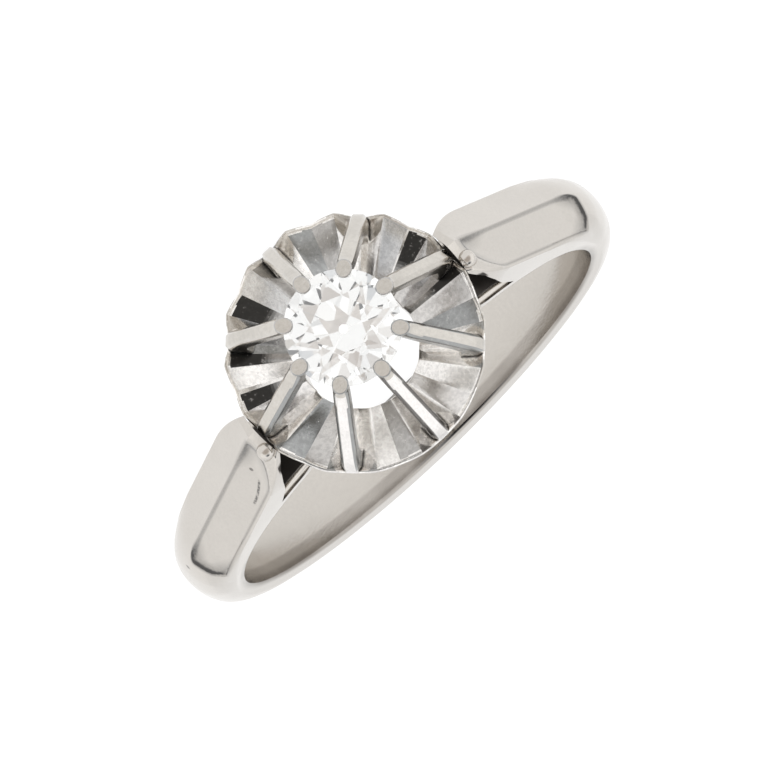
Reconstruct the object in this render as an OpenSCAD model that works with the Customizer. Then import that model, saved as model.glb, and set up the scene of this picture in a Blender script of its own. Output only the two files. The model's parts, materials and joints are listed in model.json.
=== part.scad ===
// Solitaire ring: an old cut stone held high in eight claws above a pleated open cup,
// on a shank with long ridged shoulders. It lies on its side, on the back of the shank
// and the rim of the cup, as a ring laid on a table does.
//
// Each piece is drawn in the ring's own directions: x across the shoulders, y along the
// finger, z from the middle of the finger hole up through the stone.

/* [Finger hole and shank] */
// Radius of the finger hole
bore_r = 8.5; // [8:0.1:9.5]
// Radius of the outside of the shank at the sides
side_r = 10.02; // [9.9:0.02:11.2]
// Radius of the outside of the shank at the back
back_r = 10.1; // [9.8:0.05:11]
// Width of the shank along the finger at the shoulders
shoulder_w = 2.86; // [2.4:0.02:3.4]
// Width of the shank along the finger at the back
back_w = 2.78; // [2.4:0.02:3.4]
// Width of the flat inside face at the back
back_flat_w = 2.1; // [1.6:0.02:2.4]
// How far the half round outside falls from its middle to its edges, at the sides
side_crown = 1.15; // [0.5:0.05:1.3]
// How far the half round outside falls from its middle to its edges, at the back
back_crown = 0.5; // [0.3:0.05:0.9]
// Fullness of the half round at the sides, where 2 is an ellipse
side_full = 2.1; // [1.8:0.1:4]
// Fullness of the half round at the back
back_full = 3.6; // [1.8:0.1:5]
// Width of the small flat on the outer edges
edge_bevel = 0.1; // [0.05:0.01:0.2]
// Thickness of the rail that carries the finger hole on below the cup
rail_t = 0.8; // [0.6:0.05:1.1]

/* [Shoulders] */
// Angle above the x axis where a straight shoulder leaves the round shank
leave_angle = 26; // [22:0.5:28]
// Height above the finger axis at which a shoulder meets the cup
tip_z = 12.7; // [12.4:0.05:13]
// Width of a shoulder where it meets the cup
tip_w = 1.5; // [1.2:0.1:2.2]
// Fall of a shoulder from its ridge to its edges
facet_fall = 0.42; // [0.3:0.02:0.6]
// Depth of the sunk panel beside the ridge
panel_sink = 0.12; // [0.04:0.01:0.16]
// Length of the hollow curve that ends the panel at each end
panel_end = 0.65; // [0.4:0.05:1]

/* [Cup] */
// Number of pleats, two for each claw
pleats = 16; // [16:16:16]
// Mean radius of the rim
rim_r = 4.54; // [4.4:0.01:4.6]
// Height of the middle of the rim above the finger axis
rim_z = 12.1; // [11.9:0.05:12.3]
// How far the pleats rise and fall from the middle at the rim
pleat_z = 0.42; // [0.2:0.02:0.45]
// How far the pleats stand out and in from the mean radius at the rim
pleat_r = 0.09; // [0:0.01:0.1]
// Radius of the open bottom of the cup
mouth_r = 2.12; // [1.9:0.02:2.3]
// Height of the open bottom above the finger axis
mouth_z = 10.9; // [10.6:0.05:11.1]
// Thickness of the cup wall
cup_t = 0.34; // [0.28:0.02:0.4]
// How far the rim swells out below its top edge
rim_lip = 0.06; // [0:0.01:0.08]
// Thickness of the collar below the cup
collar_t = 0.4; // [0.3:0.02:0.5]

/* [Claws and stone] */
// Number of claws
claws = 8; // [8:8:8]
// Width of a claw
claw_w = 0.64; // [0.5:0.02:0.7]
// Thickness of a claw
claw_t = 0.5; // [0.4:0.02:0.6]
// Diameter of the stone at its girdle
stone_d = 4.2; // [4:0.05:4.3]
// Height of the girdle above the finger axis
girdle_z = 16.25; // [15.8:0.05:16.5]
// Width of the table as a share of the stone's diameter
table_share = 0.5; // [0.4:0.01:0.6]
// Height of the crown as a share of the stone's diameter
crown_share = 0.17; // [0.13:0.01:0.2]
// Depth of the pavilion as a share of the stone's diameter
pavilion_share = 0.43; // [0.4:0.01:0.46]
// Width of the small facet at the point as a share of the stone's diameter
culet_share = 0.07; // [0.03:0.01:0.1]
// How far the foot of a claw stands out past the mean radius of the rim
claw_out = 0.04; // [0:0.01:0.1]
// Radius of the upright lug at a shoulder's end
lug_r = 0.28; // [0.2:0.02:0.36]
// Height of the lug, foot to top
lug_h = 0.86; // [0.8:0.02:1]

/* [Hidden] */
$fn = 96;
// Clearance where two pieces are set against each other
seam = 0.02;

// Claws: where the foot stands in the cup and where the end is cut over the girdle
foot_r = rim_r + claw_out;
foot_z = rim_z - pleat_z - 0.12;
foot_rise = 0.45;
end_r = stone_d / 2 + 0.3 * claw_t;
end_z = girdle_z + 0.36;
table_z = girdle_z + crown_share * stone_d;
table_r = table_share * stone_d / 2;
// Height of the collar's foot, just above the finger hole's wall
collar_z = bore_r + 0.36;

// Section of the cup and its collar, seen from the side: [radius, height, share of the pleat]
cup_section = [
    [mouth_r, collar_z, 0],
    [mouth_r, mouth_z, 0],
    [mix(mouth_r, rim_r, 0.12), mix(mouth_z, rim_z, 0.12), 0.3],
    [mix(mouth_r, rim_r, 0.5), mix(mouth_z, rim_z, 0.46), 0.62],
    [rim_r, rim_z, 1],
    [rim_r + rim_lip, rim_z - 0.55 * cup_t, 1],
    [rim_r - 0.08, rim_z - cup_t, 1],
    [mix(mouth_r, rim_r, 0.5), mix(mouth_z, rim_z, 0.46) - cup_t - 0.05, 0.62],
    [mouth_r + collar_t + 0.05, mouth_z - cup_t - 0.05, 0.15],
    [mouth_r + collar_t, mouth_z - cup_t - 0.2, 0],
    [mouth_r + collar_t, collar_z, 0]
];
cup_steps = 4 * pleats;
// A pleat stands highest halfway between two valleys, and every second valley holds a claw
function cup_point(i, p) = let(
        a = 360 * i / cup_steps,
        up = 1 - 2 * pow(abs((i % 4) - 2) / 2, 1.6),
        r = p[0] + up * p[2] * pleat_r)
    [r * cos(a), r * sin(a), p[1] + up * p[2] * pleat_z];

// Rest: the cup beside one claw and the edge of the shank at the back touch the floor
back_edge_r = back_r - back_crown;
low_points = concat(
    [for (i = [0:4]) let(p = cup_point(i, cup_section[5])) [p[0], p[2]]],
    [[foot_r, foot_z + foot_rise]]);
lean = atan(max([for (p = low_points) (p[0] - back_w / 2) / (p[1] + back_edge_r)]));
rest_h = (back_w / 2) * cos(lean) + back_edge_r * sin(lean);
head_reach = max(end_z * cos(lean) + end_r * sin(lean), table_z * cos(lean) + table_r * cos(22.5) * sin(lean));

// Straight shoulders: a line at side_r from the axis, then a nearly level top
tip_slope = 0.4;
tip_x = rim_r + rim_lip + pleat_r + seam;
level_k = tip_z + tip_slope * tip_x;
tip_angle = atan(tip_z / tip_x) + 1.5;
// Places of the sunk panel's two ends along a shoulder, and where the half round turns flat
panel_from = -1.1;
panel_to = 8.9;
flat_from = -2.6;
flat_to = 0.4;
// Where the shoulder starts to narrow towards the cup, and where it is narrowest
narrow_from = 6.6;
narrow_to = 9.8;
low_r = bore_r - 0.4;
// How far the top of a lug stands below the end of its shoulder's ridge
lug_sink = 0.44;

function mix(a, b, f) = a + (b - a) * f;
function clamp(v) = max(0, min(1, v));
function smooth(v) = let(c = clamp(v)) c * c * (3 - 2 * c);
function bump(v) = sqrt(1 - pow(1 - clamp(v), 2));

// Place along a straight shoulder, from the round shank up, for an angle at the axis
function run(a) = side_r * tan(a - leave_angle);
function angle_at(s) = leave_angle + atan(s / side_r);
// Share of the way from the back of the ring round to the side
function side_share(a) = clamp((a + 90) / 90);
function round_r(a) = mix(back_r, side_r, side_share(a));
function ridge_r(a) = a < leave_angle ? round_r(a)
    : min(side_r / cos(a - leave_angle), level_k / (sin(a) + tip_slope * cos(a)));
function half_w(a) = a < leave_angle ? mix(back_w, shoulder_w, side_share(a)) / 2
    : mix(shoulder_w, tip_w, pow(clamp((run(a) - narrow_from) / (narrow_to - narrow_from)), 2)) / 2;
function flat_half_w(a) = mix(back_flat_w, shoulder_w - 2 * edge_bevel, side_share(a)) / 2;
function crown(a) = mix(back_crown, side_crown, side_share(a));
// Share of the sunk panel's depth, which is nothing outside its two ends
function sunk(a) = a < 0 ? 0
    : bump((run(a) - panel_from) / panel_end) * bump((panel_to - run(a)) / (1.6 * panel_end));
function flatness(a) = a < 0 ? 0 : smooth((run(a) - flat_from) / (flat_to - flat_from));
function fullness(a) = mix(back_full, side_full, side_share(a));
function dome(a, v) = crown(a) * (1 - pow(1 - pow(v, fullness(a)), 1 / fullness(a)));
// Depth of the outside below its ridge at share v of the half width. Only the side with the
// panel is sunk, and the other side of the ridge is a plain facet.
function depth(a, v, panel) = mix(dome(a, v), facet_fall * v, flatness(a))
    + panel * panel_sink * sunk(a) * clamp((v - 0.03) / 0.07);

// One half of a section of the shank, from the finger hole out to the ridge: [y, radius].
// panel is 1 on the side with the sunk panel and 0 on the plain side.
function half_section(a, panel) = let(
        w = half_w(a),
        flat = min(flat_half_w(a), w - edge_bevel),
        scale = ridge_r(a) / round_r(a),
        out_step = 0.2,
        out_y = w - edge_bevel / 3,
        bevel_v = 1 - edge_bevel / w)
    [
        [flat - (out_y - flat) * (bore_r - low_r) / out_step, low_r],
        [out_y, bore_r + out_step],
        [w, ridge_r(a) - depth(a, 1, panel) * scale - mix(0, edge_bevel, flatness(a))],
        for (v = [bevel_v, 0.8, 0.55, 0.3, 0.1, 0.03]) [w * v, ridge_r(a) - depth(a, v, panel) * scale]
    ];
function section(a) = let(near = half_section(a, 1), far = half_section(a, 0), n = len(far))
    concat(near, [[0, ridge_r(a)]], [for (i = [n - 1:-1:0]) [-far[i][0], far[i][1]]]);

// Angles of the sections on one side, from the back of the ring up to the tip
shoulder_runs = [-1.08, -1, -0.88, -0.7, -0.42, 0, 0.4, 2, 4, 6, 7.2, 7.9, 8.3, 8.6, 8.75, 8.88];
side_angles = concat(
    [for (a = [-90:9:9]) a],
    [13, 16],
    [for (s = shoulder_runs) angle_at(s)],
    [tip_angle - 4, tip_angle - 2, tip_angle]);

back_reach = max([for (p = section(-90)) p[1] * cos(lean) + p[0] * sin(lean)]);

// Joins rings of points into one closed body, with a flat cap at each end
module skin(rings) {
    n = len(rings[0]);
    last = len(rings) - 1;
    points = [for (ring = rings) each ring];
    walls = [
        for (i = [0:last - 1])
            for (j = [0:n - 1])
                let(k = (j + 1) % n)
                    each [[i * n + j, (i + 1) * n + k, i * n + k], [i * n + j, (i + 1) * n + j, (i + 1) * n + k]]
    ];
    caps = [[for (j = [0:n - 1]) j], [for (j = [n - 1:-1:0]) last * n + j]];
    polyhedron(points, concat(walls, caps));
}

// Turns the ring from its own directions to how it lies, over the middle of its footprint
module lying() {
    translate([0, (head_reach - back_reach) / 2, rest_h])
        rotate([90 - lean, 0, 0])
            children();
}

module shank_skin() {
    count = len(side_angles);
    angles = concat(
        [for (i = [count - 1:-1:1]) [side_angles[i], 1]],
        [for (i = [0:count - 1]) [side_angles[i], -1]]);
    skin([
        for (place = angles)
            [for (p = section(place[0])) [place[1] * p[1] * cos(place[0]), p[0], p[1] * sin(place[0])]]
    ]);
}

// Underside of a shoulder, seen along the finger: [distance from the middle, height]
shoulder_under = [[5.9, 6.4], [5.2, 8.5], [4.95, 9.8], [4.86, 11], [4.3, 12], [4.3, 14]];

// Space between the shoulders above the rail
module shoulder_gap() {
    last = len(shoulder_under) - 1;
    rotate([90, 0, 0])
        linear_extrude(height = 2 * shoulder_w, center = true)
            polygon(concat(
                [[0, bore_r + rail_t / 2]],
                shoulder_under,
                [for (i = [last:-1:0]) [-shoulder_under[i][0], shoulder_under[i][1]]]));
}

// Upright lug at the end of each shoulder, beside the foot of its claw
module lugs() {
    for (side = [-1, 1])
        translate([side * (tip_x + 0.8 * lug_r), 2 * lug_r, tip_z - lug_sink - lug_h])
            rotate([0, 0, 22.5])
                cylinder(r = lug_r, h = lug_h, $fn = 8);
}

module rail() {
    rotate([90, 0, 0])
        intersection() {
            cylinder(r = bore_r + rail_t, h = shoulder_w - 2 * edge_bevel - 2 * seam, center = true);
            translate([-6.4, 5, -shoulder_w])
                cube([12.8, 6, 2 * shoulder_w]);
        }
}

// Half round shank with its long ridged shoulders and the rail below the cup, with room left for
// the collar and the cup
module shank_body() {
    difference() {
        union() {
            difference() {
                shank_skin();
                shoulder_gap();
            }
            rail();
            lugs();
        }
        translate([0, 0, bore_r - 1])
            cylinder(r = mouth_r + collar_t + seam, h = 3, $fn = 80);
        translate([0, 0, bore_r + 2.2])
            cylinder(r = tip_x, h = 4, $fn = 24);
    }
}

// The shank is brought to its outside width across the shoulders and bored through for the finger
module shank() {
    color([0.8, 0.79, 0.77])
        lying()
            difference() {
                resize([2 * side_r, 0, 0])
                    shank_body();
                rotate([90, 0, 0])
                    cylinder(r = bore_r, h = 3 * shoulder_w, center = true);
            }
}

module cup() {
    n = len(cup_section);
    points = [for (i = [0:cup_steps - 1]) for (p = cup_section) cup_point(i, p)];
    polyhedron(points, [
        for (i = [0:cup_steps - 1])
            for (j = [0:n - 1])
                let(i2 = (i + 1) % cup_steps, k = (j + 1) % n)
                    each [[i * n + j, i2 * n + k, i * n + k], [i * n + j, i2 * n + j, i2 * n + k]]
    ]);
}

// Side view of a claw: from the rim up to its cut end over the girdle
module claw() {
    head_r = stone_d / 2;
    rotate([90, 0, 0])
        linear_extrude(height = claw_w, center = true)
            polygon([
                [foot_r - 0.3, foot_z],
                [foot_r, foot_z + foot_rise],
                [foot_r, rim_z + 0.55],
                [foot_r - 0.3, rim_z + 0.95],
                [head_r + claw_t * 0.62, girdle_z + 0.02],
                [end_r, end_z],
                [head_r - 0.14, girdle_z + 0.3],
                [head_r - 0.06, girdle_z + 0.1],
                [head_r + 0.04, girdle_z + 0.05],
                [head_r + 0.04, girdle_z - 0.16],
                [foot_r - 0.78, rim_z + 0.6],
                [foot_r - 1, rim_z - 0.62]
            ]);
}

// Pleated cup on its collar, with the claws soldered into every second pleat
module setting() {
    color([0.83, 0.82, 0.81])
        lying()
            union() {
                cup();
                for (i = [0:claws - 1])
                    rotate([0, 0, 360 * i / claws])
                        claw();
            }
}

// Old cut brilliant: eight main facets above and below, a small table and an open point
module stone() {
    r = stone_d / 2;
    g = 0.03;
    crown_h = crown_share * stone_d;
    pavilion_h = pavilion_share * stone_d;
    culet_r = culet_share * r;
    star_r = mix(table_r, r, 0.42);
    half_r = mix(culet_r, r, 0.62);
    color([0.93, 0.95, 0.97])
        lying()
            translate([0, 0, girdle_z])
                hull() {
                    translate([0, 0, crown_h])
                        rotate([0, 0, 22.5])
                            cylinder(r = table_r, h = 0.001, $fn = 8);
                    translate([0, 0, crown_h * 0.62])
                        cylinder(r = star_r, h = 0.001, $fn = 8);
                    translate([0, 0, -g])
                        cylinder(r = r, h = 2 * g, $fn = 32);
                    translate([0, 0, -pavilion_h * 0.42])
                        cylinder(r = half_r, h = 0.001, $fn = 16);
                    translate([0, 0, -pavilion_h])
                        cylinder(r = culet_r, h = 0.001, $fn = 8);
                }
}

shank();
setting();
stone();
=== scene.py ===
import json
import math
import bmesh
import bpy
import numpy as np
from mathutils import Matrix


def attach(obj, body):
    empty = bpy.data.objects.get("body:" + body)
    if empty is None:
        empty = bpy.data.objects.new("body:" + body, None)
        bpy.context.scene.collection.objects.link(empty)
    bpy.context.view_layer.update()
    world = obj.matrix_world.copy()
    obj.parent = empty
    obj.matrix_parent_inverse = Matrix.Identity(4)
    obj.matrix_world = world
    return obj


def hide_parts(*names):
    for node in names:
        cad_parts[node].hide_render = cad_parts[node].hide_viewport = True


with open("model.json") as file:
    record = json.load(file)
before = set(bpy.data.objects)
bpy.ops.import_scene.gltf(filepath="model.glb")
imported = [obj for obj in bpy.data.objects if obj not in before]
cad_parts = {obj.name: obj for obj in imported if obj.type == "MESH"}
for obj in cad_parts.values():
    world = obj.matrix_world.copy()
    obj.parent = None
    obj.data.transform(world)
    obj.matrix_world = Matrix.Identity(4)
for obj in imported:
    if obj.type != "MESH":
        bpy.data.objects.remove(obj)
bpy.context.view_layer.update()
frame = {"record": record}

# How the ring lies
# Each piece is drawn in the ring's own directions, in millimetres: x across the shoulders, y along
# the finger and z from the middle of the finger hole up through the stone. The finger hole stated in
# the record says where those directions are on the floor.
finger_hole = frame["record"]["mounts"][0]
bore_r = finger_hole["dims"]["r_mm"]
hole_middle = np.array(finger_hole["pos_m"])
along = np.array(finger_hole["axis"])
ring_axes = np.array([[1, 0, 0], along, [0, -along[2], along[1]]])


def lay(points):
    """Points in the ring's directions and millimetres, as they lie on the floor in metres."""
    return np.asarray(points, float) @ ring_axes / 1000 + hole_middle


# Shank
# Half round band of white gold whose two shoulders rise straight to the cup. A ridge runs up each
# shoulder, with a plain facet on one side and a sunk panel on the other. A rail carries the finger
# hole on below the cup. It is cast in one piece, filed and polished.
side_r = 10.02
back_r = 10.1
shoulder_w = 2.86
back_w = 2.78
back_flat_w = 2.1
side_crown = 1.15  # how far the outside falls from its middle to its edge
back_crown = 0.5
side_full = 2.1  # how full that curve is: 2 is an ellipse, more is squarer
back_full = 3.6
edge_bevel = 0.1
round_corner = 0.02
facet_corner = 0.12
facet_turn = 0.09  # how far a facet's edge is turned over
inner_edge = 0.22
inner_drop = 0.26
bore_stock = 0.4  # metal left in the finger hole, which is bored last
stock_share = 0.96
leave_angle = 26  # where a shoulder leaves the round, in degrees above the x axis
tip_z = 12.7
tip_w = 1.5
tip_slope = 0.4
tip_x = 4.68
tip_level = tip_z + tip_slope * tip_x
# Places along a shoulder are counted from where it leaves the round.
narrow_from = 6.6
narrow_over = 3.2
near_flat_from = -2.6
near_flat_over = 3
far_flat_from = -3
far_flat_over = 5
facet_fall = 0.42
ridge_aside = 0.14
panel_sink = 0.12
panel_start = -1.22
start_cove = 0.65
start_by_ridge = 0.9
by_ridge_w = 0.35
start_by_rim = 0.25
by_rim_from = 0.9
by_rim_w = 0.4
panel_stop = 8.75
stop_cove = 1.1
stop_by_rim = 1.6
stop_w = 1.27
stop_power = 2.4
panel_step = 0.05  # this and the two below are shares of the half width
ridge_share = 0.015
rim_share = 0.93
lip_fade = 0.8
lip_from = 0.5
lip_over = 3
# Shares of the half width, of the round edge and of the side wall where a section has its points.
top_shares = np.array([0.012, 0.025, 0.04, 0.055, 0.07, 0.1, 0.16, 0.24, 0.32, 0.41, 0.5, 0.6, 0.69, 0.77,
                       0.83, 0.87, 0.895, 0.915, rim_share])
edge_shares = np.array([0.3, 0.55, 0.75, 0.9, 0.98])
wall_shares = (0.08, 0.35, 0.7, 1)


def mix(a, b, share):
    """What lies a share of the way from a to b."""
    return a + (b - a) * share


def smooth(x):
    """0 to 1 with a soft start and end."""
    x = np.clip(x, 0, 1)
    return x * x * (3 - 2 * x)


def cove(x):
    """0 to 1 in a quarter round."""
    return np.sqrt(1 - (1 - np.clip(x, 0, 1)) ** 2)


class Station:
    """One section of the shank, at an angle in degrees above the x axis."""

    def __init__(self, angle):
        self.turn = math.radians(angle)
        self.side = min(1, max(0, (angle + 90) / 90))  # 0 at the back, 1 from the sides up
        past_round = math.radians(max(0, angle) - leave_angle)
        self.run = side_r * math.tan(past_round)  # place along the shoulder
        self.round_r = mix(back_r, side_r, self.side)
        self.near_flat = float(smooth((self.run - near_flat_from) / near_flat_over))
        self.far_flat = float(smooth((self.run - far_flat_from) / far_flat_over))
        self.ridge_r = self.round_r
        if angle > leave_angle:
            straight = side_r / math.cos(past_round)
            level = tip_level / (math.sin(self.turn) + tip_slope * math.cos(self.turn))
            self.ridge_r = min(straight, level)
        narrow = min(1, max(0, (self.run - narrow_from) / narrow_over))
        full_w = mix(back_w, shoulder_w, self.side)
        self.half_w = mix(full_w / 2, tip_w / 2, narrow ** 2)

    def surface(self, v, panelled):
        """Radius of the outside at shares v of the half width, with the sunk panel if panelled."""
        crown = mix(back_crown, side_crown, self.side)
        full = mix(back_full, side_full, self.side)
        dome = crown * (1 - np.maximum(0, 1 - v ** full) ** (1 / full))
        fall = mix(dome, facet_fall * v, self.near_flat if panelled else self.far_flat)
        if panelled:
            y = v * self.half_w
            by_ridge = np.clip(1 - y / by_ridge_w, 0, 1)
            by_rim = np.clip((y - by_rim_from) / by_rim_w, 0, 1)
            start = panel_start + start_by_ridge * by_ridge ** 3 + start_by_rim * by_rim ** 2
            stop = panel_stop - stop_by_rim * (y / stop_w) ** stop_power
            ends = cove((self.run - start) / start_cove) * cove((stop - self.run) / stop_cove)
            lip = 1 - lip_fade * smooth((self.run - lip_from) / lip_over)
            below_rim = 1 - lip * (1 - np.clip((rim_share - v) / panel_step, 0, 1))
            below_ridge = np.clip((v - ridge_share) / panel_step, 0, 1)
            fall = fall + panel_sink * ends * below_ridge * below_rim
        return self.ridge_r - fall * self.ridge_r / self.round_r

    def half(self, panelled):
        """Half of the section as rows of y and radius, from the ridge out and in to the finger hole."""
        w = self.half_w
        corner = mix(round_corner, facet_corner, self.near_flat)
        v = top_shares * (1 - corner / w) / rim_share
        top = np.c_[w * v, self.surface(v, panelled)]
        top_y, top_r = top[-1]
        to_edge = mix(v[-1], 1, edge_shares)
        round_edge = np.c_[w * to_edge, self.surface(to_edge, False)]
        edge_drop = top_r - float(self.surface(np.array([1.0]), False)[0]) + facet_turn
        arc = np.radians([20, 40, 60, 78, 90])
        facet_edge = np.c_[top_y + (w - top_y) * np.sin(arc), top_r - edge_drop * (1 - np.cos(arc))]
        bend = mix(round_edge, facet_edge, self.near_flat)
        flat_w = mix(back_flat_w, shoulder_w - 2 * edge_bevel, self.side)
        flat = min(flat_w / 2, w - edge_bevel)
        foot = np.array([w - edge_bevel / 3, bore_r + inner_edge])
        wall = np.array([mix(bend[-1], foot, share) for share in wall_shares])
        arc = np.radians([20, 40, 60, 80])
        comfort = np.c_[mix(flat, foot[0], np.cos(arc)), foot[1] - inner_drop * np.sin(arc)]
        inside = np.array([[flat * stock_share, bore_r - bore_stock]])
        return np.vstack([top, bend, wall, comfort, inside])

    def ring(self, side):
        """The whole section as points: side is 1 on the +x shoulder and -1 on the other."""
        far_half = self.half(False)[::-1] * [-1, 1]
        outline = np.vstack([self.half(True), far_half, [[0, self.ridge_r]]])
        near_ridge = 1 - np.clip(np.abs(outline[:, 0]) / self.half_w, 0, 1)
        y = outline[:, 0] - ridge_aside * self.near_flat * near_ridge
        r = outline[:, 1]
        return np.c_[side * r * math.cos(self.turn), y, r * math.sin(self.turn)]


def skin(name, rings, closed=False):
    """A body through rings of points, capped at both ends unless the rings close on themselves."""
    rings = [np.asarray(ring) for ring in rings]
    n = len(rings[0])
    count = len(rings)
    faces = []
    for i in range(count if closed else count - 1):
        here, there = i * n, (i + 1) % count * n
        faces += [(here + j, there + j, there + (j + 1) % n, here + (j + 1) % n) for j in range(n)]
    if not closed:
        faces += [tuple(range(n))[::-1], tuple((count - 1) * n + j for j in range(n))]
    mesh = bpy.data.meshes.new(name)
    mesh.from_pydata(np.vstack(rings).tolist(), [], faces)
    shell = bmesh.new()
    shell.from_mesh(mesh)
    bmesh.ops.recalc_face_normals(shell, faces=shell.faces)
    shell.to_mesh(mesh)
    shell.free()
    piece = bpy.data.objects.new(name, mesh)
    bpy.context.scene.collection.objects.link(piece)
    return piece


def work(piece, operation, tool):
    """Cuts a tool out of a piece, or joins it on, and uses the tool up."""
    change = piece.modifiers.new(operation, "BOOLEAN")
    change.operation = operation
    change.solver = "MANIFOLD"
    change.object = tool
    bpy.context.view_layer.update()
    worked = piece.evaluated_get(bpy.context.evaluated_depsgraph_get())
    done = bpy.data.meshes.new_from_object(worked)
    piece.modifiers.clear()
    piece.data = done
    bpy.data.objects.remove(tool)


def pillar(name, radius, low, high, steps=256, finger_way=False):
    """A round bar, standing along z or lying along the finger."""
    turns = np.arange(steps) * 2 * math.pi / steps
    ends = []
    for level in (low, high):
        x, y, z = radius * np.cos(turns), radius * np.sin(turns), np.full(steps, level)
        ends.append(np.c_[x, z, y] if finger_way else np.c_[x, y, z])
    return skin(name, ends)


def both_halves(half):
    """A closed outline from half of it, which starts on the middle line."""
    return np.vstack([half, half[:0:-1] * [-1, 1]])


round_steps = range(-90, 8, 2)
run_steps = [(-2.6, -1.4, 0.12), (-1.4, -0.3, 0.035), (-0.3, 6.6, 0.15), (6.6, 9.1, 0.05), (9.1, 9.9, 0.12)]
runs = np.concatenate([np.arange(start, stop, step) for start, stop, step in run_steps])
run_angles = [leave_angle + math.degrees(math.atan(run / side_r)) for run in runs]
tip_spare = 1.5
past_tip = math.degrees(math.atan(tip_z / tip_x)) + tip_spare
stations = [Station(angle) for angle in [*round_steps, *run_angles, past_tip]]
back_to_tip = [station.ring(1) for station in reversed(stations)]
shank = skin("shank_piece", back_to_tip + [station.ring(-1) for station in stations[1:]])

rail_t = 0.66
gap_sink = 0.15
gap_reach = 3
gap_side = [(5.55, 7.45), (5.3, 8.5), (5.18, 9.8), (4.98, 11), (4.6, 11.9), (4.2, 12.8), (4.2, 14)]
turns = np.radians(np.linspace(90, 51, 9))
gap_floor = (bore_r + rail_t - gap_sink) * np.c_[np.cos(turns), np.sin(turns)]
gap = both_halves(np.vstack([gap_floor, gap_side]))
gap_ends = [np.c_[gap[:, 0], np.full(len(gap), y), gap[:, 1]] for y in (-gap_reach, gap_reach)]
work(shank, "DIFFERENCE", skin("gap_tool", gap_ends))

rail_back = 0.02
rail_side = shoulder_w / 2 - edge_bevel - rail_back
rail_top = bore_r + rail_t
rail_corner = 0.16
arc = np.radians(np.arange(0, 91, 15))
rail_edge = np.array([rail_side, rail_top]) - rail_corner + rail_corner * np.c_[np.sin(arc), np.cos(arc)]
foot_steps = [(0, 0.2), (-0.04, 0.08), (-0.16, -0.03), (-0.3, -0.3)]
rail_foot = np.array([rail_side, bore_r]) + foot_steps
rail = both_halves(np.vstack([[[0, rail_top]], rail_edge, rail_foot]))
rail_turns = np.radians(np.linspace(44, 136, 121))
rail_y, rail_r = rail.T
rail_rings = [np.c_[rail_r * math.cos(turn), rail_y, rail_r * math.sin(turn)] for turn in rail_turns]
work(shank, "UNION", skin("rail_tool", rail_rings))

lug_r = 0.28
lug_x = tip_x + 0.8 * lug_r
lug_y = 2 * lug_r
lug_foot = tip_z - 1.3
# Rows of radius and height above the foot.
lug_sections = [(0.24, 0), (0.32, 0.06), (0.32, 0.82), (0.29, 0.94), (0.22, 1.03), (0.12, 1.08)]
turns = np.radians(np.arange(0, 360, 10))
for side in (-1, 1):
    lug_at = [side * lug_x, lug_y, lug_foot]
    lug_rings = [np.c_[r * np.cos(turns), r * np.sin(turns), 0 * turns + rise] + lug_at
                 for r, rise in lug_sections]
    work(shank, "UNION", skin("lug_tool", lug_rings))

collar_seat = (2.54, bore_r - 1, bore_r + 2)  # radius, low end and high end
cup_seat = (tip_x, bore_r + 2.2, bore_r + 6.2)
hole = (bore_r, -5, 5)
work(shank, "DIFFERENCE", pillar("collar_tool", *collar_seat))
work(shank, "DIFFERENCE", pillar("cup_tool", *cup_seat))
work(shank, "DIFFERENCE", pillar("bore_tool", *hole, steps=720, finger_way=True))


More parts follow.
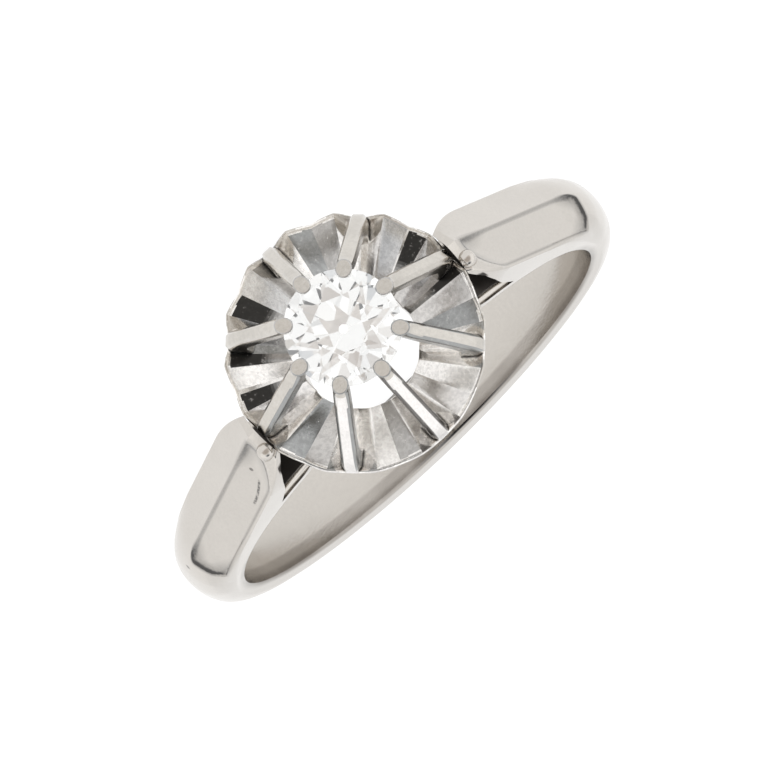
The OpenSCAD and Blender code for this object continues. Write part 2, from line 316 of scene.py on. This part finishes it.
class Socket:
    """A socket of a node tree that can be reckoned with as a number, a colour or a place."""

    def __init__(self, tree, socket):
        self.tree = tree
        self.socket = socket

    def node(self, kind, settings=None, inputs=None, output=0):
        """One of the outputs of a new node, which has these settings and these values or links."""
        made = self.tree.nodes.new(kind)
        for name, value in (settings or {}).items():
            setattr(made, name, value)
        for name, value in (inputs or {}).items():
            if isinstance(value, Socket):
                self.tree.links.new(value.socket, made.inputs[name])
            else:
                made.inputs[name].default_value = value
        return Socket(self.tree, made.outputs[output])

    def math(self, operation, *others):
        """A Math node with this socket first."""
        return self.node("ShaderNodeMath", {"operation": operation}, dict(enumerate((self, *others))))

    def math_after(self, operation, first):
        """A Math node with this socket second."""
        return self.node("ShaderNodeMath", {"operation": operation}, {0: first, 1: self})

    def __add__(self, other):
        return self.math("ADD", other)

    __radd__ = __add__

    def __sub__(self, other):
        return self.math("SUBTRACT", other)

    def __rsub__(self, other):
        return self.math_after("SUBTRACT", other)

    def __mul__(self, other):
        return self.math("MULTIPLY", other)

    __rmul__ = __mul__

    def __truediv__(self, other):
        return self.math("DIVIDE", other)

    def __rtruediv__(self, other):
        return self.math_after("DIVIDE", other)

    def __pow__(self, other):
        return self.math("POWER", other)

    def __rpow__(self, other):
        return self.math_after("POWER", other)

    def __abs__(self):
        return self.math("ABSOLUTE")

    def between(self, low, high, to_low=0.0, to_high=1.0):
        """This number taken softly from to_low at low to to_high at high."""
        ends = {"From Min": low, "From Max": high, "To Min": to_low, "To Max": to_high}
        return self.node("ShaderNodeMapRange", {"interpolation_type": "SMOOTHSTEP"}, {"Value": self, **ends})

    def fading(self, low, high):
        """1 up to low, and softly down to 0 at high."""
        return self.between(low, high, 1.0, 0.0)

    def within(self, low, full_from, full_to, high):
        """1 from full_from to full_to, and softly down to 0 at low and high."""
        return self.between(low, full_from) * self.fading(full_to, high)

    def dot(self, way):
        """How far this place or direction reaches along a way."""
        way = tuple(float(part) for part in way)
        return self.node("ShaderNodeVectorMath", {"operation": "DOT_PRODUCT"}, {0: self, 1: way}, 1)

    def blend(self, low, high):
        """Colour from low to high by this share."""
        return self.node("ShaderNodeMix", {"data_type": "RGBA"}, {0: self, 6: low, 7: high}, 2)

    def tinted(self, tint):
        """This colour multiplied by another."""
        return self.node("ShaderNodeMix", {"data_type": "RGBA", "blend_type": "MULTIPLY"},
                         {0: 1.0, 6: self, 7: tint}, 2)

    def noise(self, per_metre, detail, roughness=0.5):
        """Noise over this place, with so many lumps to the metre."""
        return self.node("ShaderNodeTexNoise", None,
                         {"Vector": self, "Scale": per_metre, "Detail": detail, "Roughness": roughness})

    def drawn_out(self, rotation, scale):
        """This place turned and scaled, so that noise over it is drawn out into streaks."""
        return self.node("ShaderNodeMapping", None, {"Vector": self, "Rotation": rotation, "Scale": scale})


def start_finish(name):
    """A new finish, with its shader and the place on the piece in metres."""
    finish = bpy.data.materials.new(name)
    finish.use_nodes = True
    tree = finish.node_tree
    shader = next(node for node in tree.nodes if node.type == "BSDF_PRINCIPLED")
    return finish, shader, Socket(tree, None).node("ShaderNodeTexCoord", output="Object")


def feed(shader, name, value):
    """Links a value to a socket of a shader."""
    value.tree.links.new(value.socket, shader.inputs[name])


corner_shade = (0.022, 0.019, 0.016, 1)
nick_grey = (0.06, 0.055, 0.05, 1)
nick_r = (0.00006, 0.00012)
nick_cover = 0.7
mark_depth = 0.000004


def white_gold(name, tone, rough, near, dirt_and_painted_light):
    """Polished white gold with fine rubbing marks and soft smears.

    Corners within near metres get painted shade, and dirt_and_painted_light is the function that lays dirt
    and painted light on the clean metal: it gives the new colour and how dull it is there.
    """
    finish, shader, place = start_finish(name)
    smear = place.noise(420, 3)
    grain = place.noise(9000, 2)
    rubs = place.drawn_out((0.4, 0.9, 0.7), (1.0, 0.06, 1.0)).noise(14000, 1)
    corners = place.node("ShaderNodeAmbientOcclusion", {"samples": 4}, {"Distance": near}, 1)
    mottle = smear.between(0.35, 0.7) * 0.5 + grain.between(0.3, 0.7) * 0.5
    darker = [part * 0.92 for part in tone]
    dirt_and_light_colour, dull = dirt_and_painted_light(place, mottle.blend((*darker, 1), (*tone, 1)), smear, grain)
    # painted shade: the colour goes dark where ambient occlusion finds a corner within near metres
    feed(shader, "Base Color", corners.between(0.1, 0.5).blend(corner_shade, dirt_and_light_colour))
    feed(shader, "Roughness", smear.between(0.3, 0.75, rough * 0.7, rough * 1.4) + grain * 0.03 + dull * 0.8)
    feed(shader, "Metallic", 1 - dull)
    marks = {"Height": rubs * 0.6 + grain * 0.4, "Strength": 0.35, "Distance": mark_depth}
    feed(shader, "Normal", place.node("ShaderNodeBump", None, marks))
    return finish


def finish_piece(piece, material, sharp=30):
    """Lays a piece down, gives it its finish, rounds its shading and lets it ride on the ring's body."""
    mesh = piece.data
    co = np.empty(len(mesh.vertices) * 3)
    mesh.vertices.foreach_get("co", co)
    mesh.vertices.foreach_set("co", lay(co.reshape(-1, 3)).astype(np.float32).ravel())
    mesh.materials.clear()
    mesh.materials.append(material)
    mesh.shade_smooth()
    mesh.set_sharp_from_angle(angle=math.radians(sharp))
    mesh.update()
    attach(piece, "root")
    return piece


def ring_mm(place, axis):
    """How far a place on the laid piece lies along one of the ring's axes, in millimetres."""
    return place.dot(axis * 1000) - float(axis @ hole_middle * 1000)


def nicks(place, clean, spots):
    """Small dark nicks in the polished metal, at spots in the ring's directions."""
    for spot in spots:
        middle = tuple(float(part) for part in lay(spot))
        away = place.node("ShaderNodeVectorMath", {"operation": "DISTANCE"}, {0: place, 1: middle}, 1)
        clean = away.between(*nick_r, nick_cover, 0.0).blend(clean, nick_grey)
    return clean


line_grey = (0.07, 0.068, 0.066, 1)
film_brown = (0.13, 0.11, 0.095, 1)
pocket_shade = (0.018, 0.014, 0.011, 1)
panel_shade = 0.015
film_cover = 0.85
shank_nicks = [(5.72, 0.41, 10.58), (9.67, -0.02, 2.6), (-0.72, 1.19, -8.54)]
rim_narrows = 0.6
# Values in the panel's middle, and how much more they are at its low end and at its high end.
line_w = (0.09, 0.16, 0.12)
line_cover = (0.4, 0.38, 0.1)
fog_w = (0.15, 0.8, 0.6)
fog_cover = (0.08, 0.6, 0.3)
# Where dirt and painted shade lie and their soft edges begin and end: along the shoulder, out from the
# finger's axis, or along x, y or z.
low_end_run = (-1.4, 0.9)
high_end_run = (6.2, 8.4)
shoulder_r = (bore_r + 0.9, bore_r + 1.1)
scratch_run = (5.05, 5.3, 6.7, 7.0)
scratch_x = (1, 1.5)
scratch_y = 1.03
scratch_half_w = (0.02, 0.075)
scratch_straight_to = 5.2
scratch_bow = 0.075
film_y = (0.66, 0.8)
film_dark_y = (0.98, 1.22)
film_z = (2, 4)
film_r = (bore_r - 0.1, bore_r + 0.35)
pocket_z = (7.2, 7.4, 11.3, 11.6)
pocket_r = (bore_r + 0.1, bore_r + 0.2)
pocket_y = (1.06, 1.14)
pocket_x = (5.36, 5.42)
pocket_wide_z = (8.4, 9.2)
pocket_wide = 0.17
pocket_slant_z = 8.5
pocket_slant = 0.13


def inside_panel(run, across):
    """How far a place lies inside the edge of the sunk panel, in millimetres."""
    by_ridge = (1 - across / by_ridge_w).math("MAXIMUM", 0.0)
    by_rim = (across - by_rim_from).between(0, by_rim_w)
    start = by_ridge ** 3 * start_by_ridge + panel_start + by_rim * start_by_rim
    stop = panel_stop - (across.math("MAXIMUM", 0.0) / stop_w) ** stop_power * stop_by_rim
    narrow = run.between(narrow_from, narrow_from + narrow_over)
    to_rim = rim_share * shoulder_w / 2 - narrow * rim_narrows - across
    to_ends = (run - start).math("SMOOTH_MIN", stop - run, 0.3)
    return to_ends.math("SMOOTH_MIN", (across - 0.02).math("MINIMUM", to_rim), 0.25)


def shank_dirt_and_shade(place, clean, smear, grain):
    """Old polish and painted shade round the sunk panels, faint painted shade inside them, a scratch,
    painted shade in the black pockets under the shoulders and a brown film.
    """
    x, y, z = (ring_mm(place, axis) for axis in ring_axes)
    turn = z.math("ARCTAN2", abs(x)) - math.radians(leave_angle)
    run = turn.math("TANGENT") * side_r
    out = (x * x + z * z).math("SQRT")
    outside = out.between(*shoulder_r)
    inside = inside_panel(run, (y + ridge_aside) * (shoulder_w / (shoulder_w + 2 * ridge_aside)))
    low_end = run.fading(*low_end_run)
    high_end = run.between(*high_end_run)

    def by_end(middle, more_low, more_high):
        """A value in the panel's middle, raised by so much at its low end and at its high end."""
        return low_end * more_low + high_end * more_high + middle

    # line and fog: old polish residue and painted shade in the cove round the sunk panel
    line = (abs(inside - 0.03) / by_end(*line_w)).fading(0, 1)
    fog = (inside / by_end(*fog_w)).fading(0, 1) * inside.between(-0.02, 0.03)
    polish_and_shade = line * by_end(*line_cover) + fog * by_end(*fog_cover)
    polish_and_shade = polish_and_shade * outside * grain.between(0.3, 0.7, 0.75, 1.0)

    bow = (run - scratch_straight_to).math("MAXIMUM", 0.0) ** 2 * scratch_bow
    scratch = abs(y - scratch_y + bow).fading(*scratch_half_w) * run.within(*scratch_run)
    scratch = scratch * x.between(*scratch_x) * outside * grain.between(0.42, 0.55, 0.25, 0.85)

    film = y.between(*film_y) * 0.5 + y.between(*film_dark_y) * 0.5
    film = film * z.fading(*film_z) * out.fading(*film_r)
    film = film * smear.between(0.3, 0.62, 0.6, 1.0) * film_cover

    # pocket: painted shade, a dark dull patch deep in the gap under each shoulder
    pocket = z.within(*pocket_z) * out.between(*pocket_r)
    pocket = pocket * (abs(y) - z.between(*pocket_wide_z) * pocket_wide).fading(*pocket_y)
    pocket = pocket * (abs(x) + (z - pocket_slant_z) * pocket_slant).fading(*pocket_x)
    pocket = pocket * smear.between(0.4, 0.65, 0.85, 1.0)

    clean = pocket.blend(clean, pocket_shade)
    clean = (inside.between(0, 0.1) * outside * panel_shade).blend(clean, (0, 0, 0, 1))
    clean = polish_and_shade.math("MAXIMUM", scratch).blend(clean, line_grey)
    clean = film.blend(clean, film_brown)
    return nicks(place, clean, shank_nicks), pocket


shank_metal = white_gold("shank_white_gold", (0.63, 0.597, 0.555), 0.16, 0.0014, shank_dirt_and_shade)
finish_piece(shank, shank_metal)
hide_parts("shank")

# Setting
# Open cup of thin metal folded into sixteen sharp pleats, soldered on a short collar, with a claw
# soldered into every second valley. The claws lean in and are pressed over the edge of the stone.
pleats = 16
pleat_steps = 20
pleat_z = 0.42
pleat_r = 0.09
ridge_soft = 0.03
claw_valley = 1.7  # how deep a valley lies below the ridges, as a share of pleat_z
plain_valley = 1.1
mouth_r = 2.12
mouth_z = 10.9
mouth_pleat = 0.45  # share of the full pleat that the mouth has
rim_r = 4.54
rim_z = 12.1
rim_lip = 0.05
cup_t = 0.3
collar_r = mouth_r + 0.4
collar_foot = bore_r + 0.36


def pleat_up(step):
    """Height of the pleat at a step round the cup: 1 on a ridge, 1 less the valley's depth in a valley."""
    u = (step % pleat_steps) / pleat_steps * 2 - 1
    depth = claw_valley if round(step / pleat_steps) % 2 == 0 else plain_valley
    return 1 - depth * (math.hypot(u, ridge_soft) - ridge_soft) / (math.hypot(1, ridge_soft) - ridge_soft)


def wall_at(share, down):
    """A point of the cup's wall at a share of the way out, lowered by down: radius, height, pleat share."""
    return mix(mouth_r, rim_r, share), mix(mouth_z, rim_z, share) - down, mix(mouth_pleat, 1, share)


under_z = mouth_z - cup_t
lip_steps = [(0.01, 0.01), (0.04, 0.05), (rim_lip, 0.12), (0.03, 0.2), (-0.05, 0.27)]
# Rows of radius, height and share of the full pleat.
cup_section = [(mouth_r, collar_foot, 0), (mouth_r, mouth_z - 0.3, 0), (mouth_r, mouth_z - 0.04, 0.42)]
cup_section += [(mouth_r + 0.02, mouth_z, mouth_pleat)]
cup_section += [wall_at(share, 0) for share in [*np.linspace(0.04, 0.935, 20), 0.955, 0.985]]
cup_section += [(rim_r + out, rim_z - drop, 1) for out, drop in lip_steps]
cup_section += [wall_at(share, cup_t) for share in np.linspace(0.95, 0.3, 12)]
cup_section += [(collar_r + 0.05, under_z - 0.15, 0.1), (collar_r, under_z - 0.32, 0)]
cup_section += [(collar_r, collar_foot, 0)]

chance = np.random.default_rng(7)
ridge_lean = np.radians(chance.uniform(-1.0, 1.0, pleats))
ridge_lift = chance.uniform(0.86, 1.12, pleats)
cup_rings = []
for step in range(pleats * pleat_steps):
    up = pleat_up(step)
    ridge = step // pleat_steps
    turn = 2 * math.pi * step / (pleats * pleat_steps) + ridge_lean[ridge] * max(0, up)
    up *= ridge_lift[ridge] if up > 0 else 1
    r, z, part = np.transpose(cup_section)
    r = r + up * part * pleat_r
    cup_rings.append(np.c_[r * math.cos(turn), r * math.sin(turn), z + up * part * pleat_z])
setting = skin("setting_piece", cup_rings, closed=True)

claws = 8
claw_w = 0.64
foot_w = 1.14  # shares of claw_w at a claw's foot, and from ring claw_even on
upper_w = 0.92
claw_even = 26
claw_rings = 41
round_from = 27  # ring where the section starts to turn from flat topped to round
round_over = 10
claw_top = 16.52
# Rows of radius and height.
claw_outer = [(4.25, 11.35), (4.55, 11.75), (4.6, 12.1), (4.57, 12.5), (4.42, 12.95), (4.0, 13.7),
              (3.4, 14.75), (2.9, 15.6), (2.56, 16.15), (2.43, 16.4), (2.4, claw_top)]
claw_inner = [(3.6, 11.4), (3.65, 11.8), (3.75, 12.15), (3.8, 12.5), (3.75, 12.85), (3.43, 13.45),
              (2.83, 14.5), (2.3, 15.4), (1.92, 16.1), (1.74, 16.42), (1.72, claw_top)]
# Rows of degrees round from the inside of the claw, how far outward and how far aside.
flat_section = [(0, -1, 0), (60, -1, 0.9), (72, -0.9, 1), (108, 0.3, 1), (120, 0.42, 0.97),
                (132, 0.55, 0.9), (156, 0.95, 0.58), (168, 1, 0.5), (180, 1, 0)]
tip_steps = [(0.95, 0.03), (0.86, 0.045)]


def eased(points):
    """A line of radius and height through points, in even steps and with its corners eased."""
    steps = np.linspace(0, len(points) - 1, claw_rings)
    line = np.c_[[np.interp(steps, np.arange(len(points)), part) for part in np.transpose(points)]].T
    for _ in range(3):
        line[1:-1] = (line[:-2] + 2 * line[1:-1] + line[2:]) / 4
    return line


def claw(turn):
    """One claw between its outer and inner lines, flat topped where it lies on the cup and round above."""
    around = np.radians(np.arange(0, 360, 12))
    from_inside = np.abs(np.degrees(around) - 180)
    degrees, outward, broad = np.transpose(flat_section)
    flat_out = np.interp(from_inside, degrees, outward)
    flat_broad = np.interp(from_inside, degrees, broad) * np.sign(np.sin(around))
    rings = []
    for k, (outer, inner) in enumerate(zip(eased(claw_outer), eased(claw_inner))):
        r, z = (outer + inner) / 2
        half_r, half_z = (outer - inner) / 2
        rounded = smooth((k - round_from) / round_over)
        out = mix(flat_out, np.cos(around), rounded)
        half_w = claw_w / 2 * mix(foot_w, upper_w, smooth(k / claw_even))
        aside = half_w * mix(flat_broad, np.sin(around), rounded)
        rings.append(np.c_[r + half_r * out, aside, z + half_z * out])
    last = rings[-1]
    middle = last.mean(axis=0)
    rings += [middle + (last - middle) * shrink + [0, 0, lift] for shrink, lift in tip_steps]
    c, s = math.cos(turn), math.sin(turn)
    return skin("claw_tool", [ring @ np.array([[c, s, 0], [-s, c, 0], [0, 0, 1]]) for ring in rings])


for i in range(claws):
    work(setting, "UNION", claw(2 * math.pi * i / claws))

# Painted reflections, highlights and shade: these tones multiply the setting's colour, above 1 lighter and
# below 1 darker, for what each facet or claw mirrors.
bright = (1.53, 1.57, 1.63)
light_reflection = (1.28, 1.31, 1.37)
plain = (0.98, 1.0, 1.04)
even_reflection = (0.95, 0.95, 0.94)
grey = (0.77, 0.79, 0.82)
steel = (0.58, 0.62, 0.66)
dim = (0.28, 0.28, 0.29)
black = (0.07, 0.07, 0.07)
# Rows of degrees round the cup where a tone ends, and that tone.
painted_reflections = [(11.25, bright), (22.5, steel), (33.75, plain), (67.5, bright), (78.75, grey),
               (101.25, bright), (112.5, light_reflection), (146.25, bright), (157.5, steel), (168.2, plain),
               (174.5, black), (191.25, plain), (201.5, black), (213.75, bright), (217, light_reflection),
               (236.25, bright), (247.5, grey), (258.75, steel), (270, bright), (281.25, grey),
               (293, bright), (303.75, black), (315, bright), (320.8, steel), (327.3, black),
               (340, bright), (349, black), (360, light_reflection)]
dark_from = 0.3
dark_over = 0.25
lip_share = 0.96
top_skin = 0.13
# painted shade: the claws up to front_turn get darker sides
front_turn = 2.6  # the claws up to here, in radians round the cup, have darker sides
lit_claws = (1, 2)
dim_claw = 2
lit_below = 16.3
side_above = 12.3
side_from = 0.19
side_to = 0.36
side_slope = -0.3
end_slope = 0.95


def pleat_reflection(degrees, share):
    """Painted reflection of the pleats at degrees round the cup, a share of the way out from the mouth to
    the rim, with a painted highlight along the lip.
    """
    if share > lip_share:
        return bright
    tone = next(tone for last, tone in painted_reflections if degrees <= last)
    if tone == black:
        return mix(np.array(grey), np.array(black), smooth((share - dark_from) / dark_over))
    return tone


def claw_reflection(turn, r, z, slope):
    """Painted reflection of a claw: a painted grey edge round its end, painted shade on the sides of the
    claws in front and painted highlights on the lit claws.
    """
    nearest = round(turn / (2 * math.pi) * claws)
    aside = abs(r * math.sin(2 * math.pi / claws * nearest - turn))
    front = turn < front_turn
    if z > claw_top + 0.001 and slope < end_slope:
        return steel if front else grey
    if z > side_above and side_from < aside < side_to and slope > side_slope and front:
        return dim if nearest == dim_claw else steel
    return light_reflection if nearest in lit_claws and z < lit_below else even_reflection


# Each face of the setting carries its painted reflection as a colour attribute.
reflection_of = setting.data.attributes.new("facet_tone", "FLOAT_COLOR", "FACE")
for face, value in zip(setting.data.polygons, reflection_of.data):
    x, y, z = face.center
    r = math.hypot(x, y)
    turn = math.atan2(y, x) % (2 * math.pi)
    pleat = turn / (2 * math.pi) * pleats
    up = pleat_up(pleat * pleat_steps)
    share = (r - mouth_r) / (rim_r - mouth_r)
    top = mix(mouth_z, rim_z, share) + up * mix(mouth_pleat, 1, share) * pleat_z
    if -0.02 < share < 1.02 and abs(z - top) < top_skin:
        straightened = turn - ridge_lean[int(pleat)] * max(0, up)
        tone = pleat_reflection(math.degrees(straightened) % 360, share)
    else:
        tone = claw_reflection(turn, r, z, face.normal.z)
    value.color = (*tone, 1)

setting_nicks = [(-4.53, -0.49, 12.26), (2.32, 2.77, 13.26)]
handled_grey = (0.8, 0.79, 0.78, 1)
rubbed_bright = (1.1, 1.09, 1.08, 1)
streak_grey = (0.7, 0.68, 0.66, 1)
above_rim = (rim_z + 0.4, rim_z + 0.5)
claw_handling = 0.35


def setting_wear_and_reflections(place, clean, smear, grain):
    """Each facet's painted reflection, streaks where hands wore the cup, less of them on the claws, and
    nicks.
    """
    facet = place.node("ShaderNodeAttribute", {"attribute_name": "facet_tone"})
    streaks = place.drawn_out((0.3, 0.2, 0.9), (1.0, 0.2, 1.0)).noise(6000, 4, 0.7)
    height = ring_mm(place, ring_axes[2])
    handling = height.between(*above_rim, 1.0, claw_handling)
    left_clean = 1 - (streaks.between(0.38, 0.6) * 0.6 + smear.between(0.35, 0.6) * 0.4)
    worn = (1 - left_clean * handling).blend(handled_grey, rubbed_bright)
    clean = clean.tinted(worn).tinted(facet)
    clean = streaks.between(0.6, 0.68, 0, 0.4).blend(clean, streak_grey)
    dull = (facet.between(0.05, 0.2, 0.25, 0) + streaks.between(0.62, 0.72, 0, 0.2)) * handling
    return nicks(place, clean, setting_nicks), dull


setting_metal = white_gold("setting_white_gold", (0.62, 0.595, 0.56), 0.17, 0.00016, setting_wear_and_reflections)
finish_piece(setting, setting_metal, 20)
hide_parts("setting")

# Stone
# Old cut round stone, ground flat facet by facet from a round blank: a small table, eight main, eight
# star and sixteen girdle facets above, the same mains and short girdle facets below, an open point.
stone_r = 2.1
girdle_z = 16.25
girdle_half = 0.03
table_r = 0.5 * stone_r
crown_h = 0.17 * 2 * stone_r
pavilion_h = 0.43 * 2 * stone_r
point_r = 0.08 * stone_r
star_r = mix(table_r, stone_r, 0.48)
lower_r = mix(point_r, stone_r, 0.5)
sixteenth = math.pi / 8


def at(radius, step, height):
    """A point at a radius and height, so many sixteenths of a turn round."""
    return np.array([radius * math.cos(step * sixteenth), radius * math.sin(step * sixteenth), height])


blank = bmesh.new()
spare = 0.5
bmesh.ops.create_cone(blank, cap_ends=True, segments=128, radius1=stone_r, radius2=stone_r,
                      depth=2 * (pavilion_h + spare))


def grind(a, b, c):
    """Grinds away what lies outside the plane through three points."""
    normal = np.cross(b - a, c - a)
    if normal @ a < 0:
        normal = -normal
    cut = bmesh.ops.bisect_plane(blank, geom=blank.verts[:] + blank.edges[:] + blank.faces[:], dist=1e-6,
                                 plane_co=a, plane_no=normal, clear_outer=True)
    edges = [edge for edge in cut["geom_cut"] if isinstance(edge, bmesh.types.BMEdge) and edge.is_boundary]
    if edges:
        bmesh.ops.holes_fill(blank, edges=edges)


for side, height, meet_r, flat_r in ((1, crown_h, star_r, table_r), (-1, pavilion_h, lower_r, point_r)):
    base = side * girdle_half
    peak = base + side * height
    meet_z = base + side * (stone_r - meet_r * math.cos(sixteenth)) * (height / (stone_r - flat_r))
    for k in range(0, 16, 2):
        edge = at(stone_r, k, base)
        grind(at(flat_r, k, peak), edge, edge + at(1, k + 4, 0))
    for k in range(0, 16, 2):
        meet = at(meet_r, k + 1, meet_z)
        grind(at(stone_r, k, base), at(stone_r, k + 1, base), meet)
        grind(at(stone_r, k + 2, base), at(stone_r, k + 1, base), meet)
        if side > 0:
            grind(at(flat_r, k, peak), at(flat_r, k + 2, peak), meet)
    grind(*[at(flat_r, k, peak) for k in (0, 4, 8)])
bmesh.ops.recalc_face_normals(blank, faces=blank.faces)
bmesh.ops.translate(blank, verts=blank.verts, vec=(0, 0, girdle_z))
stone_mesh = bpy.data.meshes.new("stone_piece")
blank.to_mesh(stone_mesh)
blank.free()
stone = bpy.data.objects.new("stone_piece", stone_mesh)
bpy.context.scene.collection.objects.link(stone)

clear, shader, place = start_finish("old_cut_stone")
shader.inputs["Base Color"].default_value = (0.91, 0.91, 0.895, 1)
shader.inputs["IOR"].default_value = 2.42
shader.inputs["Transmission Weight"].default_value = 1.0
# A faint painted glow in the stone, which keeps it light.
shader.inputs["Emission Color"].default_value = (0.97, 0.98, 1, 1)
shader.inputs["Emission Strength"].default_value = 0.02
feed(shader, "Roughness", place.noise(3000, 2).between(0.4, 0.8, 0.0, 0.02))
finish_piece(stone, clear)
for polygon in stone.data.polygons:
    polygon.use_smooth = False
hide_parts("stone")

# Studio
# A pale table lit from below and a white tent over it. The tent is darker round the opening that the
# camera looks through, and a black card stands over the ring, which some pleats mirror; the pleats' black
# and white are painted reflections in the setting's colour as well.
photo_side = 782
pixels_per_mm = 27.92
camera_distance = 700
ring_middle_px = (392.1, 389.8)
swing = math.radians(43.84)
tilt = math.radians(9.8)
skew = math.radians(-0.9)
unskew = np.array([[math.cos(skew), 0, math.sin(skew)], [0, 1, 0], [-math.sin(skew), 0, math.cos(skew)]])
back = np.array([0, math.sin(tilt), math.cos(tilt)]) @ unskew
right = np.array([-math.cos(swing), math.sin(swing) * math.cos(tilt), -math.sin(swing) * math.sin(tilt)])
right = right @ unskew
down = np.array([math.sin(swing), math.cos(swing) * math.cos(tilt), -math.cos(swing) * math.sin(tilt)])
down = down @ unskew
offset = np.array(ring_middle_px) - photo_side / 2
eye = back * camera_distance - (right * offset[0] + down * offset[1]) / pixels_per_mm
camera_data = bpy.data.cameras.new("camera")
camera = bpy.data.objects.new("camera", camera_data)
bpy.context.scene.collection.objects.link(camera)
camera_data.sensor_width = 36
camera_data.lens = pixels_per_mm * camera_distance * camera_data.sensor_width / photo_side
camera_data.clip_start = 0.05
camera_data.clip_end = 20
pose = np.eye(4)
for column, way in enumerate((right, -down, back)):
    pose[:3, column] = way @ ring_axes
pose[:3, 3] = lay(eye)
camera.matrix_world = Matrix(pose.tolist())
bpy.context.scene.camera = camera

table_reach = 3.0
floor_mesh = bpy.data.meshes.new("table_top")
floor_corners = [(table_reach * x, table_reach * y, 0) for x, y in ((-1, -1), (1, -1), (1, 1), (-1, 1))]
floor_mesh.from_pydata(floor_corners, [], [(0, 1, 2, 3)])
floor = bpy.data.objects.new("table_top", floor_mesh)
bpy.context.scene.collection.objects.link(floor)
paper, shader, place = start_finish("pale_table")
shader.inputs["Roughness"].default_value = 0.9
shader.inputs["Base Color"].default_value = (0.12, 0.12, 0.12, 1)
shader.inputs["Specular IOR Level"].default_value = 0.0
shader.inputs["Emission Color"].default_value = (1, 1, 1, 1)
shader.inputs["Emission Strength"].default_value = 0.98
floor_mesh.materials.append(paper)

world = bpy.data.worlds.new("white_tent")
bpy.context.scene.world = world
world.use_nodes = True
tree = world.node_tree
tree.nodes.clear()
sky = Socket(tree, None)
direction = sky.node("ShaderNodeTexCoord", output="Generated")


def card(off_axis, round_axis, inner, outer):
    """How much of a round card's shade lies in a direction: 1 within inner degrees, 0 beyond outer.

    The card's middle is off_axis degrees off the line to the camera, and round_axis degrees round it
    from the picture's right.
    """
    off, turn = math.radians(off_axis), math.radians(round_axis)
    way = back * math.cos(off) + (right * math.cos(turn) - down * math.sin(turn)) * math.sin(off)
    facing = direction.dot(way @ ring_axes)
    return facing.between(math.cos(math.radians(outer)), math.cos(math.radians(inner)))


tent_white = (1, 1, 1, 1)
camera_side = (1.28, 1.28, 1.28, 1)
round_opening = (0.6, 0.55, 0.51, 1)
card_edge = (0.55, 0.57, 0.6, 1)
card_black = (0.004, 0.004, 0.004, 1)
tent = card(0, 0, 98, 125).blend(tent_white, camera_side)
tent = card(0, 0, 12, 55).blend(tent, round_opening)
tent = card(66, 300, 14, 30).blend(tent, card_edge)
tent = card(66, 300, 7, 16).blend(tent, card_black)
light = sky.node("ShaderNodeBackground", None, {"Color": tent, "Strength": 1.0})
out = tree.nodes.new("ShaderNodeOutputWorld")
tree.links.new(light.socket, out.inputs["Surface"])
bpy.context.scene.view_settings.view_transform = "Standard"
